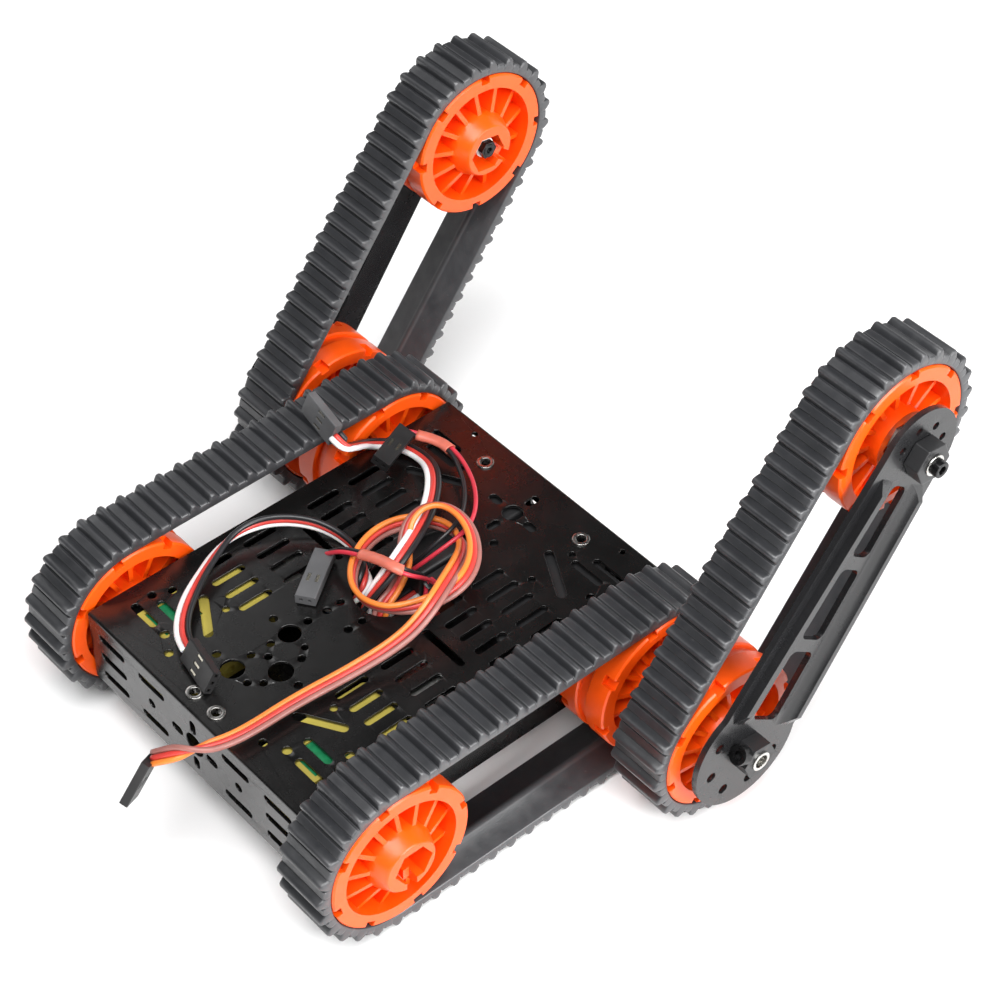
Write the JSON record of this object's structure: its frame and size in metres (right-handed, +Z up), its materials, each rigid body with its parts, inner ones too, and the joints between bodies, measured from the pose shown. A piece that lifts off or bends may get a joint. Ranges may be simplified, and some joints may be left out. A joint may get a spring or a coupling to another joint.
{
  "type": "tracked robot chassis",
  "caption": "Tracked robot chassis: slotted black sheet-metal case on rubber track belts with orange spoked wheels and raised front flipper arms carrying their own belts; loose leads on deck.",
  "frame": {"origin": "on the ground under the middle of the whole machine, flippers included, midway between the tracks", "axes": "+X forward, towards the flippers; +Y to the machine's left; +Z up"},
  "size_m": [0.2214, 0.2146, 0.129],
  "materials": {
    "black_steel": "black oxide",
    "dark_grey_sheet": "satin powder coat",
    "bright_steel": "plated",
    "black_hex": "moulded nylon",
    "black_sheet": "satin powder coat",
    "green_board": "solder mask",
    "orange_plastic": "moulded, slightly glossy",
    "servo_plastic": "moulded",
    "track_rubber": "moulded",
    "yellow_plastic": "olive yellow, moulded",
    "lead_orange": "three-wire ribbon insulation",
    "lead_red": "two-wire insulation",
    "lead_white": "three-wire ribbon insulation",
    "motor_steel": "drawn can",
    "plug_black": "moulded",
    "plug_grey": "moulded",
    "dark_aluminium": "anodised",
    "sleeve_salmon": "shrink sleeve",
    "white_plastic": "moulded"
  },
  "bodies": {
    "chassis": {"bottom_tray": "black_sheet", "case_screws": "black_steel", "clinch_nuts": "bright_steel", "encoder_boards": "green_board", "flipper_servo_left": "servo_plastic", "flipper_servo_right": "servo_plastic", "gearmotor_housing_left": "yellow_plastic", "gearmotor_housing_right": "yellow_plastic", "motor_can_left": "motor_steel", "motor_can_right": "motor_steel", "shaft_bearings": "bright_steel", "top_cover": "black_sheet", "lead_orange": "lead_orange", "lead_pair_front": "lead_red", "lead_pair_rear": "lead_red", "lead_white_long": "lead_white", "lead_white_short": "lead_white", "plug_orange": "plug_black", "plug_pair_front": "plug_black", "plug_pair_rear": "plug_grey", "plug_white_long": "plug_grey", "plug_white_short": "plug_black", "sleeve_front": "sleeve_salmon", "sleeve_rear": "sleeve_salmon", "main_track_left": "track_rubber", "main_track_right": "track_rubber"},
    "rear_wheel_left": {"rear_wheel_left": "orange_plastic", "rear_coupling_left": "black_hex", "motor_shaft_left": "bright_steel"},
    "front_wheels_left": {"front_wheel_left": "orange_plastic", "flipper_base_wheel_left": "orange_plastic", "wheel_hexes_left": "black_hex"},
    "flipper_left": {"arm_plate_left": "dark_grey_sheet", "flipper_shaft_left": "bright_steel", "servo_coupling_left": "dark_aluminium", "base_hub_left": "black_hex", "tip_hub_left": "black_hex", "tip_axle_left": "black_steel", "axle_washer_left": "bright_steel", "arm_hardware_left": "black_steel", "flipper_track_left": "track_rubber"},
    "tip_wheel_left": {"tip_wheel_left": "orange_plastic", "tip_bushing_left": "white_plastic"},
    "rear_wheel_right": {"rear_wheel_right": "orange_plastic", "rear_coupling_right": "black_hex", "motor_shaft_right": "bright_steel"},
    "front_wheels_right": {"front_wheel_right": "orange_plastic", "flipper_base_wheel_right": "orange_plastic", "wheel_hexes_right": "black_hex"},
    "flipper_right": {"arm_plate_right": "dark_grey_sheet", "flipper_shaft_right": "bright_steel", "servo_coupling_right": "dark_aluminium", "base_hub_right": "black_hex", "tip_hub_right": "black_hex", "tip_axle_right": "black_steel", "axle_washer_right": "bright_steel", "arm_hardware_right": "black_steel", "flipper_track_right": "track_rubber"},
    "tip_wheel_right": {"tip_wheel_right": "orange_plastic", "tip_bushing_right": "white_plastic"}
  },
  "joints": [
    {"name": "drive_left", "type": "hinge", "parent": "chassis", "child": "rear_wheel_left", "pos_m": [-0.07481, 0.058, 0.0276], "axis": [0, 1, 0], "continuous": true},
    {"name": "front_wheels_left", "type": "hinge", "parent": "chassis", "child": "front_wheels_left", "pos_m": [0.01819, 0.058, 0.0276], "axis": [0, 1, 0], "continuous": true},
    {"name": "flipper_left", "type": "hinge", "parent": "chassis", "child": "flipper_left", "pos_m": [0.01819, 0.08, 0.0276], "axis": [0, -1, 0], "range_deg": [-52.5, 127.5]},
    {"name": "tip_wheel_left", "type": "hinge", "parent": "flipper_left", "child": "tip_wheel_left", "pos_m": [0.07481, 0.084, 0.10138], "axis": [0, 1, 0], "continuous": true},
    {"name": "drive_right", "type": "hinge", "parent": "chassis", "child": "rear_wheel_right", "pos_m": [-0.07481, -0.058, 0.0276], "axis": [0, 1, 0], "continuous": true},
    {"name": "front_wheels_right", "type": "hinge", "parent": "chassis", "child": "front_wheels_right", "pos_m": [0.01819, -0.058, 0.0276], "axis": [0, 1, 0], "continuous": true},
    {"name": "flipper_right", "type": "hinge", "parent": "chassis", "child": "flipper_right", "pos_m": [0.01819, -0.08, 0.0276], "axis": [0, -1, 0], "range_deg": [-52.5, 127.5]},
    {"name": "tip_wheel_right", "type": "hinge", "parent": "flipper_right", "child": "tip_wheel_right", "pos_m": [0.07481, -0.084, 0.10138], "axis": [0, 1, 0], "continuous": true}
  ],
  "couplings": [
    {"joint": "front_wheels_left", "follows": "drive_left", "ratio": 1},
    {"joint": "tip_wheel_left", "follows": "drive_left", "ratio": 1},
    {"joint": "front_wheels_right", "follows": "drive_right", "ratio": 1},
    {"joint": "tip_wheel_right", "follows": "drive_right", "ratio": 1}
  ]
}
